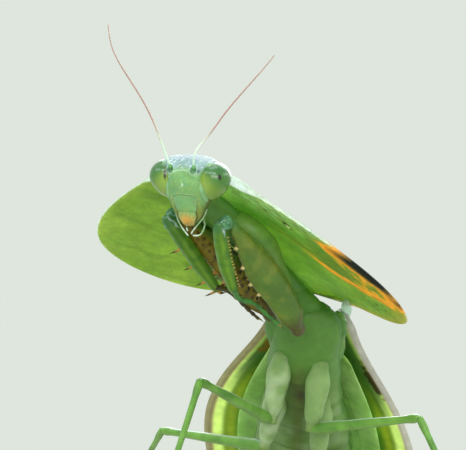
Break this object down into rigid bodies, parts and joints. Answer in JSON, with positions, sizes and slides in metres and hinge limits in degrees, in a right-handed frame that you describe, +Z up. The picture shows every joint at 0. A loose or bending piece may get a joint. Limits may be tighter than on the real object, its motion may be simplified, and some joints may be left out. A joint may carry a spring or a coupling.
{
  "type": "hooded leaf mantis model",
  "caption": "Life-size still model of a green hooded leaf mantis standing on four legs, with a broad leaf-like hood behind its head and folded spined fore legs.",
  "frame": {"origin": "centre of the model's box on the floor it stands on", "axes": "+Z up, +Y from the head end to the tail end, +X to the animal's left"},
  "size_m": [0.0512, 0.0637, 0.0405],
  "materials": {
    "green_skin": "satin chitin",
    "leaf_green": "thin translucent leaf green with fine veins",
    "pale_green": "satin chitin",
    "eye_green": "smooth glossy compound eye",
    "red_brown": "thread-like, ringed",
    "hind_wing": "thin translucent membrane"
  },
  "bodies": {
    "root": {"head": "green_skin", "neck": "green_skin", "prothorax": "green_skin", "thorax": "green_skin", "abdomen": "green_skin", "hood": "leaf_green", "mouthparts": "pale_green", "eye_left": "eye_green", "antenna_left": "red_brown", "tegmen_left": "leaf_green", "hindwing_left": "hind_wing", "fore_coxa_left": "green_skin", "fore_femur_left": "green_skin", "fore_tibia_left": "green_skin", "fore_tarsus_left": "pale_green", "mid_coxa_left": "green_skin", "mid_femur_left": "green_skin", "mid_tibia_left": "green_skin", "mid_tarsus_left": "pale_green", "hind_coxa_left": "green_skin", "hind_femur_left": "green_skin", "hind_tibia_left": "green_skin", "hind_tarsus_left": "pale_green", "eye_right": "eye_green", "antenna_right": "red_brown", "tegmen_right": "leaf_green", "hindwing_right": "hind_wing", "fore_coxa_right": "green_skin", "fore_femur_right": "green_skin", "fore_tibia_right": "green_skin", "fore_tarsus_right": "pale_green", "mid_coxa_right": "green_skin", "mid_femur_right": "green_skin", "mid_tibia_right": "green_skin", "mid_tarsus_right": "pale_green", "hind_coxa_right": "green_skin", "hind_femur_right": "green_skin", "hind_tibia_right": "green_skin", "hind_tarsus_right": "pale_green"}
  },
  "joints": []
}
